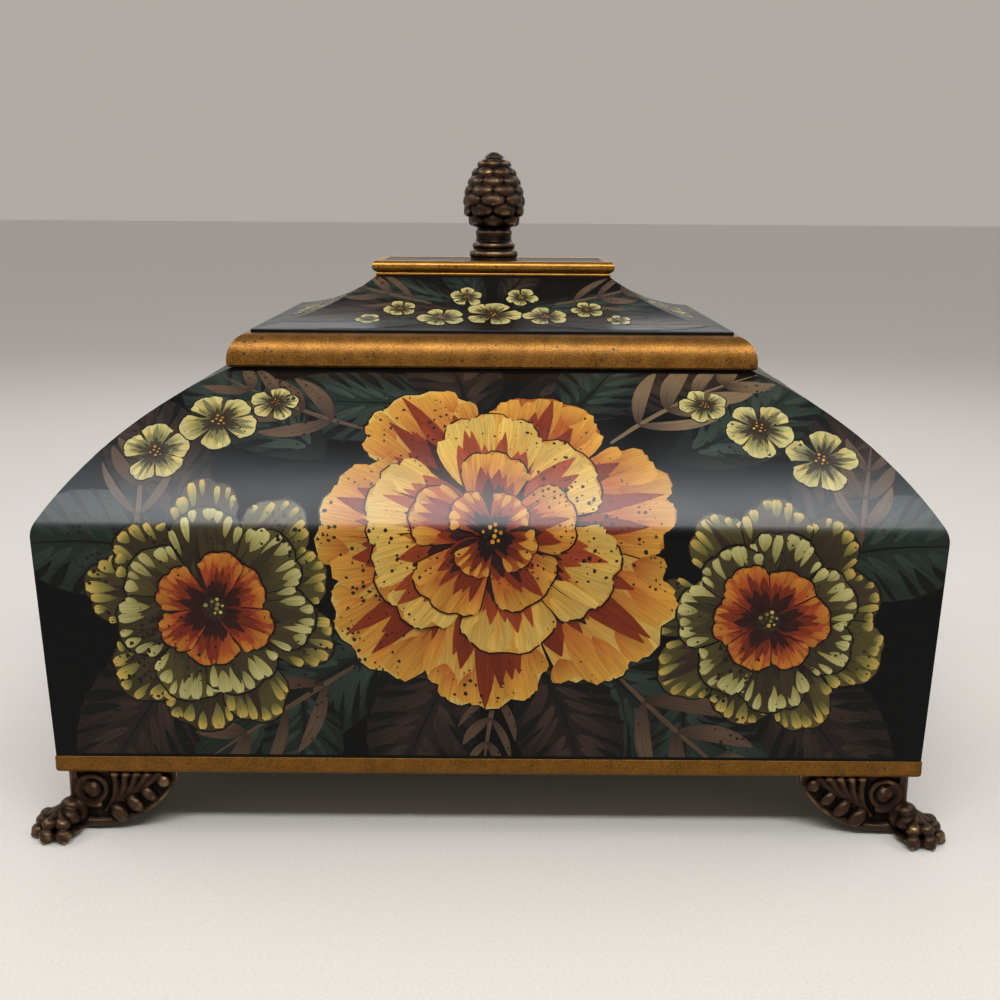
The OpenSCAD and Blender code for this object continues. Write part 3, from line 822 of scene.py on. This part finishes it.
def lump(bm, centre, radii, turn=0.0, tilt=0.0):
    """One rounded lump, turned in the plane of the wing and about the upright."""
    press(bm, Matrix.Translation(centre)
          @ Matrix.Rotation(math.radians(tilt), 4, "Z")
          @ Matrix.Rotation(math.radians(turn), 4, "Y")
          @ Matrix.Diagonal((*radii, 1)))


def roll(bm, points, radii):
    """A rolled strand of wax along points, its radius running between two values."""
    points = [Vector(p) for p in points]
    count = len(points) - 1
    for i in range(count):
        step = (points[i + 1] - points[i]).length
        radius = radii[0] + (radii[1] - radii[0]) * i / count
        inner = max(1, math.ceil(step / (0.4 * radius)))
        for j in range(inner):
            r = radii[0] + (radii[1] - radii[0]) * (i + j / inner) / count
            lump(bm, points[i].lerp(points[i + 1], j / inner), (r, r, r))


def belly(x):
    """Height of the wing's lower edge: flat at the heel, then sweeping up."""
    rise, run = FOOT_H - TIP_H - WING_GAP, WING_LEN - HEEL
    radius = (run * run + rise * rise) / (2 * rise)
    return WING_GAP + radius - math.sqrt(radius**2 - max(0, x - HEEL) ** 2)


def wing(bm):
    """The wing along +X, its carved face towards -Y."""
    edge = [(0, FOOT_H), (0, WING_GAP)] + [
        (HEEL + (WING_LEN - HEEL) * i / 24, belly(HEEL + (WING_LEN - HEEL) * i / 24))
        for i in range(25)
    ] + [(WING_LEN, FOOT_H)]
    plate = bm.faces.new([bm.verts.new((x, FACE_Y, z)) for x, z in edge])
    bmesh.ops.translate(bm, vec=(0, WING_T - FACE_Y, 0), verts=extrude(bm, [plate]))
    flange = bmesh.ops.create_cube(bm, size=1)["verts"]
    bmesh.ops.scale(bm, vec=(WING_LEN - WING_T - 2, 10, FLANGE_T), verts=flange)
    bmesh.ops.translate(
        bm, vec=((WING_LEN - WING_T) / 2 + 1, 6.5, FOOT_H - FLANGE_T / 2), verts=flange
    )
    # plain rim along the belly, broad under the volute and thin at the tip
    rim = [(x, 1.5, belly(x) + 1.2 + 1.0 * max(0, 1 - x / 30)) for x in range(5, 48, 2)]
    roll(bm, rim, (2.3, 0.95))
    # corner post, from the paw up to the band
    roll(bm, [(2.2, 2.2, 7), (2.0, 2.0, FOOT_H - 1.8)], (2.5, 2.0))
    # volute: a flat coil that tightens round a round boss
    middle = (10.4, 19.6)
    coil = []
    for i in range(34):
        a = math.radians(-70 - 16 * i)
        r = 7.4 - 0.075 * i
        coil.append((middle[0] + r * math.cos(a), 1.15, middle[1] + r * math.sin(a)))
    roll(bm, coil, (1.95, 1.35))
    lump(bm, (middle[0], 0.9, middle[1]), (4.1, 2.5, 4.1))
    lump(bm, (middle[0] + 0.8, -0.5, middle[1] + 0.6), (2.0, 1.4, 2.0))
    # flutes: leaf ribs that fan up from the heel to the band
    for i in range(5):
        foot_x, top_x = 15.6 + 2.1 * i, 20.6 + 4.9 * i
        foot_z, top_z = 9.4 + 1.7 * i, 27.8 - 0.1 * i
        bend = 3.0 - 0.35 * i
        rib = []
        for j in range(9):
            t = j / 8
            x = foot_x + (top_x - foot_x) * t + bend * math.sin(math.pi * t) * 0.7
            z = foot_z + (top_z - foot_z) * t - bend * math.sin(math.pi * t) * 0.5
            rib.append((x, 1.25 - 0.5 * t, z))
        roll(bm, rib, (1.2, 1.9))
        lump(bm, (top_x + 0.3, 0.5, FOOT_H - 2.3), (2.2, 1.7, 1.7))
    # lobes: curled bosses along the belly, each tucked under the crescent behind it
    for x, z, r in ((22.0, 8.6, 5.4), (29.2, 13.0, 4.9), (35.6, 17.8, 4.3)):
        lean = -48
        lump(bm, (x, 0.7, z), (0.66 * r, 0.6 * r, 0.98 * r), turn=lean)
        lump(bm, (x - 0.16 * r, 0.1, z + 0.3 * r), (0.36 * r, 0.42 * r, 0.42 * r), turn=lean)
        behind = [
            (x - r * (0.5 * math.cos(a) - 0.05), 1.3, z + r * (0.62 * math.sin(a) + 0.45))
            for a in [math.radians(20 * k - 30) for k in range(9)]
        ]
        roll(bm, behind, (0.16 * r, 0.22 * r))
    lump(bm, (42.6, 0.5, 24.2), (3.2, 2.9, 3.2))


def paw(bm):
    """The lion's paw: broad and low, with knuckles, toe pads and worn-down claws."""
    lump(bm, (-1.6, -1.6, 8.2), (7.4, 7.4, 5.2))
    lump(bm, (0.4, 0.4, 11.6), (5.2, 5.2, 4.4))
    lump(bm, (2.8, 2.8, 9.4), (6.0, 6.0, 7.2))
    lump(bm, (-3.6, -3.6, 2.8), (9.6, 9.6, 2.9))
    for fan in (-66, -22, 22, 66):
        a = math.radians(225 + fan)
        out = Vector((math.cos(a), math.sin(a), 0))
        hub = Vector((-3.2, -3.2, 0))
        knuckle, pad, tip = hub + out * 7.3, hub + out * 9.9, hub + out * 12.2
        lump(bm, (knuckle.x, knuckle.y, 7.9), (3.7, 3.6, 3.1), tilt=math.degrees(a))
        lump(bm, (pad.x, pad.y, 3.6), (3.3, 3.7, 3.1), tilt=math.degrees(a))
        roll(bm, [hub + out * 1.5 + Vector((0, 0, 11.4)), knuckle + Vector((0, 0, 8.2))],
             (1.7, 2.4))
        roll(bm, [(tip.x, tip.y, 1.9), (tip.x + 0.2 * out.x, tip.y + 0.2 * out.y, 0.9)],
             (1.35, 0.8))


def cast(bm, name, grain):
    """Takes a skin off the wax model: one closed casting with softened edges.
    The mesh keeps how far each point stands proud, for the rubbed highlights."""
    bmesh.ops.recalc_face_normals(bm, faces=bm.faces[:])
    model = stand(name + "_wax", as_mesh(bm, name + "_wax"))
    skin = model.modifiers.new("skin", "REMESH")
    skin.mode = "VOXEL"
    skin.voxel_size = grain
    soften = model.modifiers.new("soften", "SMOOTH")
    soften.factor, soften.iterations = 0.5, 2
    ready = model.evaluated_get(bpy.context.evaluated_depsgraph_get())
    mesh = bpy.data.meshes.new_from_object(ready)
    bpy.data.objects.remove(model)
    count = len(mesh.vertices)
    points = fetch(mesh.vertices, "co", 3).astype(float)
    normals = fetch(mesh.vertices, "normal", 3)
    a, b = fetch(mesh.edges, "vertices", 2, np.int32).T
    shared = np.bincount(a, minlength=count) + np.bincount(b, minlength=count)
    smooth = points
    for _ in range(RELIEF_ROUNDS):
        total = [
            np.bincount(a, smooth[b, k], count) + np.bincount(b, smooth[a, k], count)
            for k in range(3)
        ]
        smooth = np.stack(total, axis=1) / np.maximum(shared, 1)[:, None]
    proud = ((points - smooth) * normals).sum(axis=1)
    proud /= np.percentile(proud, 97)
    rub = mesh.attributes.new("proud", "FLOAT", "POINT")
    rub.data.foreach_set("value", proud.astype(np.float32))
    return mesh


# Antique bronze: brass darkened in liver of sulphur, the high points rubbed back
# to warm metal; the hollows keep the brown-black patina and dried wax.
bronze, tree, shader, place = new_material("antique_bronze_patina")
proud = add(tree, "Attribute", attribute_name="proud").outputs["Fac"]
spread = remap(tree, noise(tree, place, 180, 5), 0.3, 0.7, -0.4, 0.3)
height = add(tree, "Math", {0: proud, 1: spread}, operation="ADD").outputs[0]
worn = remap(tree, height, 0.7, 1.5)
brown = two_tone(tree, remap(tree, height, -0.6, 0.9), "#0B0605", "#4C3829")
feed(tree, shader, {
    "Base Color": two_tone(tree, worn, brown, "#A3855A"), "Metallic": 0.9,
    "Roughness": remap(tree, worn, 0, 1, 0.38, 0.25),
    "Normal": relief(tree, noise(tree, place, 1400, 3), 0.35, 0.0003),
})

bm, other_wing = bmesh.new(), bmesh.new()
wing(bm)
wing(other_wing)
bmesh.ops.transform(
    other_wing, matrix=Matrix(((0, 1, 0, 0), (1, 0, 0, 0), (0, 0, 1, 0), (0, 0, 0, 1))),
    verts=other_wing.verts[:],
)
bm.from_mesh(as_mesh(other_wing, "side_wing"))
paw(bm)
foot_cast = cast(bm, "foot", CAST_GRAIN)

for name, right, back in (
    ("front_left", False, False), ("front_right", True, False),
    ("back_left", False, True), ("back_right", True, True),
):
    bm = bmesh.new()
    bm.from_mesh(foot_cast)
    for vert in bm.verts:
        vert.co.z = min(max(vert.co.z, 0), FOOT_H - CLEAR)
    bmesh.ops.translate(
        bm, vec=(FOOT_S - CASE_W / 2, FOOT_S - CASE_D / 2, 0), verts=bm.verts[:]
    )
    bmesh.ops.scale(bm, vec=(-1 if right else 1, -1 if back else 1, 1), verts=bm.verts[:])
    bmesh.ops.recalc_face_normals(bm, faces=bm.faces[:])
    finish_piece(
        bm, name + "_paw_foot", "case", "antique_bronze", bronze, sharp=0,
        replaces=[name + "_foot"],
    )


# Foot screws and washers. Slotted steel screws go down through floor and band
# into the castings, two to a foot, each on a plain washer.

# Zinc-plated steel: bluish grey, slightly cloudy
steel, tree, shader, place = new_material("zinc_plated_steel")
feed(tree, shader, {
    "Base Color": linear("#A9ABAD"), "Metallic": 1,
    "Roughness": remap(tree, noise(tree, place, 500, 4), 0, 1, 0.25, 0.5),
})
for node in ("foot_screws", "foot_washers"):
    refinish(node, steel)


# Lid. Four coves of japanned tinplate stand on a gilt ovolo moulding; an angle
# skirt drops into the mouth; a gilt bead frames the black top plate.

LID_SEAT, OVERHANG = 0.3, 1.8
MOULDING_BULGE, MOULDING_RISE, MOULDING_FOOT = 10, 12, 3.3
LIP_H, COVE_RUN, COVE_LOW, COVE_HIGH, TOP_FLANGE = 1.6, 54.6, 5.5, 38.5, 7
BEAD_R, FILLET_R, PLATE_T = 2.9, 0.9, 1.2
SKIRT_S = MOUTH + 1.2
MOULDING_S = SHOULDER_RUN - OVERHANG
MOULDING_Z = LEDGE_Z + LID_SEAT
MOULDING_TOP = MOULDING_Z + MOULDING_FOOT + MOULDING_RISE
LIP_S = MOULDING_S + MOULDING_BULGE
COVE_Z = MOULDING_TOP + LIP_H
COVE_R = COVE_RUN / (sine(COVE_HIGH) - sine(COVE_LOW))
COVE_HUB = (LIP_S - COVE_R * sine(COVE_LOW), COVE_Z + COVE_R * cosine(COVE_LOW))
COVE_TOP_S = LIP_S + COVE_RUN
COVE_TOP_Z = COVE_HUB[1] - COVE_R * cosine(COVE_HIGH)
BEAD_S = COVE_TOP_S + 0.7
BEAD_Z = COVE_TOP_Z + 2 * FILLET_R + BEAD_R
PLATE_TOP = BEAD_Z + BEAD_R - 0.6
PLATE_BOTTOM = PLATE_TOP - PLATE_T
REBATE_ANGLE = math.degrees(math.asin((PLATE_TOP - BEAD_Z) / BEAD_R))
REBATE_S = BEAD_S + BEAD_R * cosine(REBATE_ANGLE)


def cove_skin(sink=0):
    """The outline of the cove, hollow to the outside, as (setback, height)."""
    return arc(COVE_HUB, COVE_R + sink, COVE_LOW - 90, COVE_HIGH - 90, 12)


bright_gold = gold_leaf("gold_leaf_burnished", "#53340D", "#9C6B2C", 0.41, 0.66)
bead_gold = gold_leaf("gold_leaf_agate_polished", "#6E4A16", "#B37F35", 0.31, 0.55)
base = MOULDING_Z + MOULDING_FOOT
ease = MOULDING_FOOT / 3
moulding_outline = (
    [(MOULDING_S + ease, MOULDING_Z), (MOULDING_S, MOULDING_Z + ease)]
    + [
        (LIP_S - MOULDING_BULGE * cosine(a), base + MOULDING_RISE * sine(a))
        for a in [90 * i / 16 for i in range(17)]
    ]
    + [(SKIRT_S, MOULDING_TOP), (SKIRT_S, MOULDING_Z)]
)
lip_round = arc((LIP_S + 0.5, COVE_Z - 0.45), 0.5, 180, 90 + COVE_LOW, 4)
cove_outline = (
    [(LIP_S, MOULDING_TOP)] + lip_round + cove_skin()[1:]
    + [(COVE_TOP_S + TOP_FLANGE, COVE_TOP_Z), (COVE_TOP_S + TOP_FLANGE, COVE_TOP_Z - SHEET)]
    + [(COVE_TOP_S + SHEET * math.tan(math.radians(COVE_HIGH / 2)), COVE_TOP_Z - SHEET)]
    + cove_skin(SHEET)[-2:0:-1]
    + [(LIP_S + SHEET, COVE_Z - SHEET), (LIP_S + SHEET, MOULDING_TOP)]
)
bead_outline = (
    arc((COVE_TOP_S + FILLET_R / 2, COVE_TOP_Z + FILLET_R), FILLET_R, 270, 90, 8)
    + arc((BEAD_S, BEAD_Z), BEAD_R, 250, REBATE_ANGLE, 20)
    + [(REBATE_S, PLATE_BOTTOM), (COVE_TOP_S + TOP_FLANGE, PLATE_BOTTOM),
       (COVE_TOP_S + TOP_FLANGE, COVE_TOP_Z)]
)
for side in TURNS:
    for outline, name, slot, material, sharp, node in (
        (cove_outline, "_cove_sheet", "painted_tin", japan, 28, "_cove"),
        (moulding_outline, "_moulding_gilt", "gilt_wood", bright_gold, 28, "_moulding"),
        (bead_outline, "_bead_gilt", "gilt_wood", bead_gold, 40, "_top_bead"),
    ):
        finish_piece(mitred_strip(outline, side), side + name, "lid", slot, material, sharp,
                     replaces=[side + node])
for side, opposite, spread, blossoms in (
    ("front", "back", 1.0, [(0, 24, 14), (-25, 20, 11), (26, 22, 11), (-13, 42, 8), (14, 42, 8),
                            (-45, 30, 8), (46, 30, 8), (-60, 18, 6), (61, 18, 6)]),
    ("right", "left", 0.66, [(0, 22, 12), (-21, 20, 9), (21, 20, 9), (-10, 39, 7), (11, 39, 7)]),
):
    cove_spray = spray(
        leaves=[
            (x * spread, y, heading, length * spread, half_width, kind)
            for x, y, heading, length, half_width, kind in (
                (-8, 34, 168, 96, 12, "pine"), (8, 34, 12, 96, 12, "pine"),
                (-6, 26, 186, 104, 12, "bark"), (6, 26, 354, 104, 12, "bark"),
                (-4, 38, 120, 40, 9, "pine"), (4, 38, 60, 40, 9, "bark"),
                (-30, 14, 200, 60, 8, "pine"), (30, 14, 340, 60, 8, "pine"),
            )
        ],
        sprigs=[(-30 * spread, 36, 158, 52 * spread, 3, "tan"),
                (30 * spread, 36, 22, 52 * spread, 3, "tan")],
        blossoms=[(x, y, radius, x * 0.07) for x, y, radius in blossoms], olives=[], ambers=[],
    )
    lay_painting(cove_spray, "cove", (side, opposite), cove_skin(), COVE_MARGINS, "lid")
refinish("top_plate", japan)
refinish("lid_skirt", tin)


# Finial. A pine cone cast in brass with the same bronze finish, on a turned
# collar of two rings; a threaded stud, washer and nut hold it from inside.

NECK_Z = PLATE_TOP + 10.2
CONE_Z, CONE_H, CONE_R = NECK_Z + 3.2, 42, 16.2
CONE_FOOT_R, WIDEST = 9.2, 0.36
SCALE_ROWS, SCALES_ROUND = 7, 7
FINIAL_GRAIN = 0.4


def cone_radius(u):
    """Radius at a share of the cone's height: widest below the middle."""
    if u >= WIDEST:
        return CONE_R * (1 - ((u - WIDEST) / (1 - WIDEST)) ** 1.6) ** 0.7
    belly_out = (1 - ((WIDEST - u) / WIDEST) ** 2) ** 1.25
    return CONE_FOOT_R + (CONE_R - CONE_FOOT_R) * belly_out


# The turned part: two rings and a neck, then the core that carries the scales
turned = [(0, 0), (12.1, 0), (12.1, 1.0), (11.4, 1.3)]
turned += arc((10.4, 3.1), 2.3, -75, 72, 10)
turned += [(10.2, 5.6)] + arc((9.4, 7.5), 1.8, -62, 80, 8)
turned += [(9.3, 10.0), (9.1, 12.2), (9.6, 14.4)]
turned += [(cone_radius(u) - 2.2, CONE_Z - PLATE_TOP + CONE_H * u)
           for u in [0.06 + 0.9 * i / 16 for i in range(17)]]
turned += [(0, CONE_Z - PLATE_TOP + CONE_H - 2)]
bm = bmesh.new()
line = [bm.verts.new((r, 0, z)) for r, z in turned]
edges = [bm.edges.new(pair) for pair in zip(line, line[1:])]
bmesh.ops.spin(
    bm, geom=line + edges, cent=(0, 0, 0), axis=(0, 0, 1), angle=math.tau, steps=96,
    use_merge=True,
)
bmesh.ops.remove_doubles(bm, verts=bm.verts[:], dist=1e-4)
for row in range(SCALE_ROWS):
    u = 0.15 + 0.68 * (row / (SCALE_ROWS - 1)) ** 0.95
    r = cone_radius(u)
    size = 0.42 + 0.58 * r / CONE_R
    slope = math.degrees(math.atan2(cone_radius(u + 0.02) - cone_radius(u - 0.02), 0.04 * CONE_H))
    for i in range(SCALES_ROUND):
        turn = 360 * (i + 0.5 * (row % 2)) / SCALES_ROUND + 11
        for out, up, radii in (
            (-2.9, 1.0, (2.9, 6.3, 4.2)),
            (-2.0, -0.4, (2.2, 4.0, 2.3)),
            (-0.9, -0.9, (1.1, 1.7, 1.2)),
        ):
            tangential = radii[1] * (0.16 + 0.84 * r / CONE_R)
            press(bm, Matrix.Rotation(math.radians(turn), 4, "Z")
                  @ Matrix.Translation(
                      (r + out * size, 0, CONE_Z - PLATE_TOP + CONE_H * u + up * size))
                  @ Matrix.Rotation(math.radians(slope - 14), 4, "Y")
                  @ Matrix.Diagonal((radii[0] * size, tangential, radii[2] * size, 1)))
lump(bm, (0, 0, CONE_Z - PLATE_TOP + CONE_H - 5.4), (5.4, 5.4, 5.2))
finial_cast = cast(bm, "finial", FINIAL_GRAIN)
bm = bmesh.new()
bm.from_mesh(finial_cast)
bmesh.ops.translate(bm, vec=(0, 0, PLATE_TOP), verts=bm.verts[:])
for vert in bm.verts:
    vert.co.z = max(vert.co.z, PLATE_TOP + CLEAR)
finish_piece(
    bm, "pine_cone_finial", "lid", "antique_bronze", bronze, sharp=0,
    replaces=["finial", "finial_collar"],
)
for node in ("finial_stud", "finial_washer", "finial_nut"):
    refinish(node, steel)


# Setting. A plain pale table top in a pale room, under soft studio light: four
# panels round the top, a glow from the ceiling, and a card over each side.

CARD_SIZE, CARD_POWER, CARD_COLOUR = (1.3, 0.34), 34, (0.9, 0.95, 1)
CARD_PLACE, CARD_AIM = Vector((0, -512, 1063)), Vector((0, 0, 145))

# Matt off-white paint, faintly mottled
table_paint, tree, shader, place = new_material("pale_table_top")
mottle = noise(tree, place, 700, 2)
feed(tree, shader, {
    "Base Color": two_tone(tree, mottle, "#BBB6AF", "#CFCBC5"), "Roughness": 0.9,
})
bm = bmesh.new()
bmesh.ops.create_grid(bm, x_segments=1, y_segments=1, size=15)
floor = stand("table_top", as_mesh(bm, "table_top"))
floor.data.materials.append(table_paint)


def hang(name, light, place, aim):
    """Hangs a light at a place in the room and turns it towards a point."""
    lamp = stand(name, light)
    lamp.location = place
    lamp.rotation_euler = (Vector(aim) - lamp.location).to_track_quat("-Z", "Y").to_euler()
    return lamp


def panel_light(name, size, power, colour):
    """A soft rectangular light of a size in metres."""
    light = bpy.data.lights.new(name, "AREA")
    light.shape = "RECTANGLE"
    light.size, light.size_y = size
    light.energy = power
    light.color = colour
    return light


for name, place, size, power in (
    ("front_panel", (0.0, -0.78, 1.02), (1.2, 0.15), 11.5),
    ("left_panel", (-0.95, 0.0, 0.98), (1.0, 0.25), 4),
    ("right_panel", (0.95, 0.0, 0.98), (1.0, 0.25), 4),
    ("back_panel_light", (0.0, 1.1, 0.9), (1.2, 0.5), 4),
):
    hang(name, panel_light(name, size, power, (0.97, 0.985, 1.0)), place, (0, 0, 0.12))

# The card over a side lights only the varnish of that side, and only as the sheen
# that lies along the bend of its tin
for side in TURNS:
    varnished = bpy.data.collections.new(side + "_varnish")
    for piece in bpy.data.objects:
        if piece.name.startswith(side) and piece.name.endswith(("_sheet", "_spray", "_blooms")):
            varnished.objects.link(piece)
    name = side + "_sheen_card"
    card = hang(
        name, panel_light(name, CARD_SIZE, CARD_POWER, CARD_COLOUR),
        side_place(side) @ CARD_PLACE * MM, side_place(side) @ CARD_AIM * MM,
    )
    card.visible_diffuse = False
    card.light_linking.receiver_collection = varnished

ceiling = bpy.data.lights.new("ceiling_glow", "SUN")
ceiling.energy = 0.9
ceiling.angle = math.radians(70)
hang("ceiling_glow", ceiling, (0, 0, 2), (0, 0, 0)).visible_glossy = False
room = bpy.data.worlds.new("pale_room")
room.use_nodes = True
sky = room.node_tree.nodes["Background"]
aim = add(room.node_tree, "TexCoord").outputs["Generated"]
height = add(room.node_tree, "SeparateXYZ", {"Vector": aim}).outputs["Z"]
lift = remap(room.node_tree, height, 0.25, 0.7)
feed(room.node_tree, sky, {
    "Color": two_tone(room.node_tree, lift, "#D9D3CA", "#B4B2AF"), "Strength": 0.62,
})
bpy.context.scene.world = room
bpy.context.scene.view_settings.view_transform = "Standard"
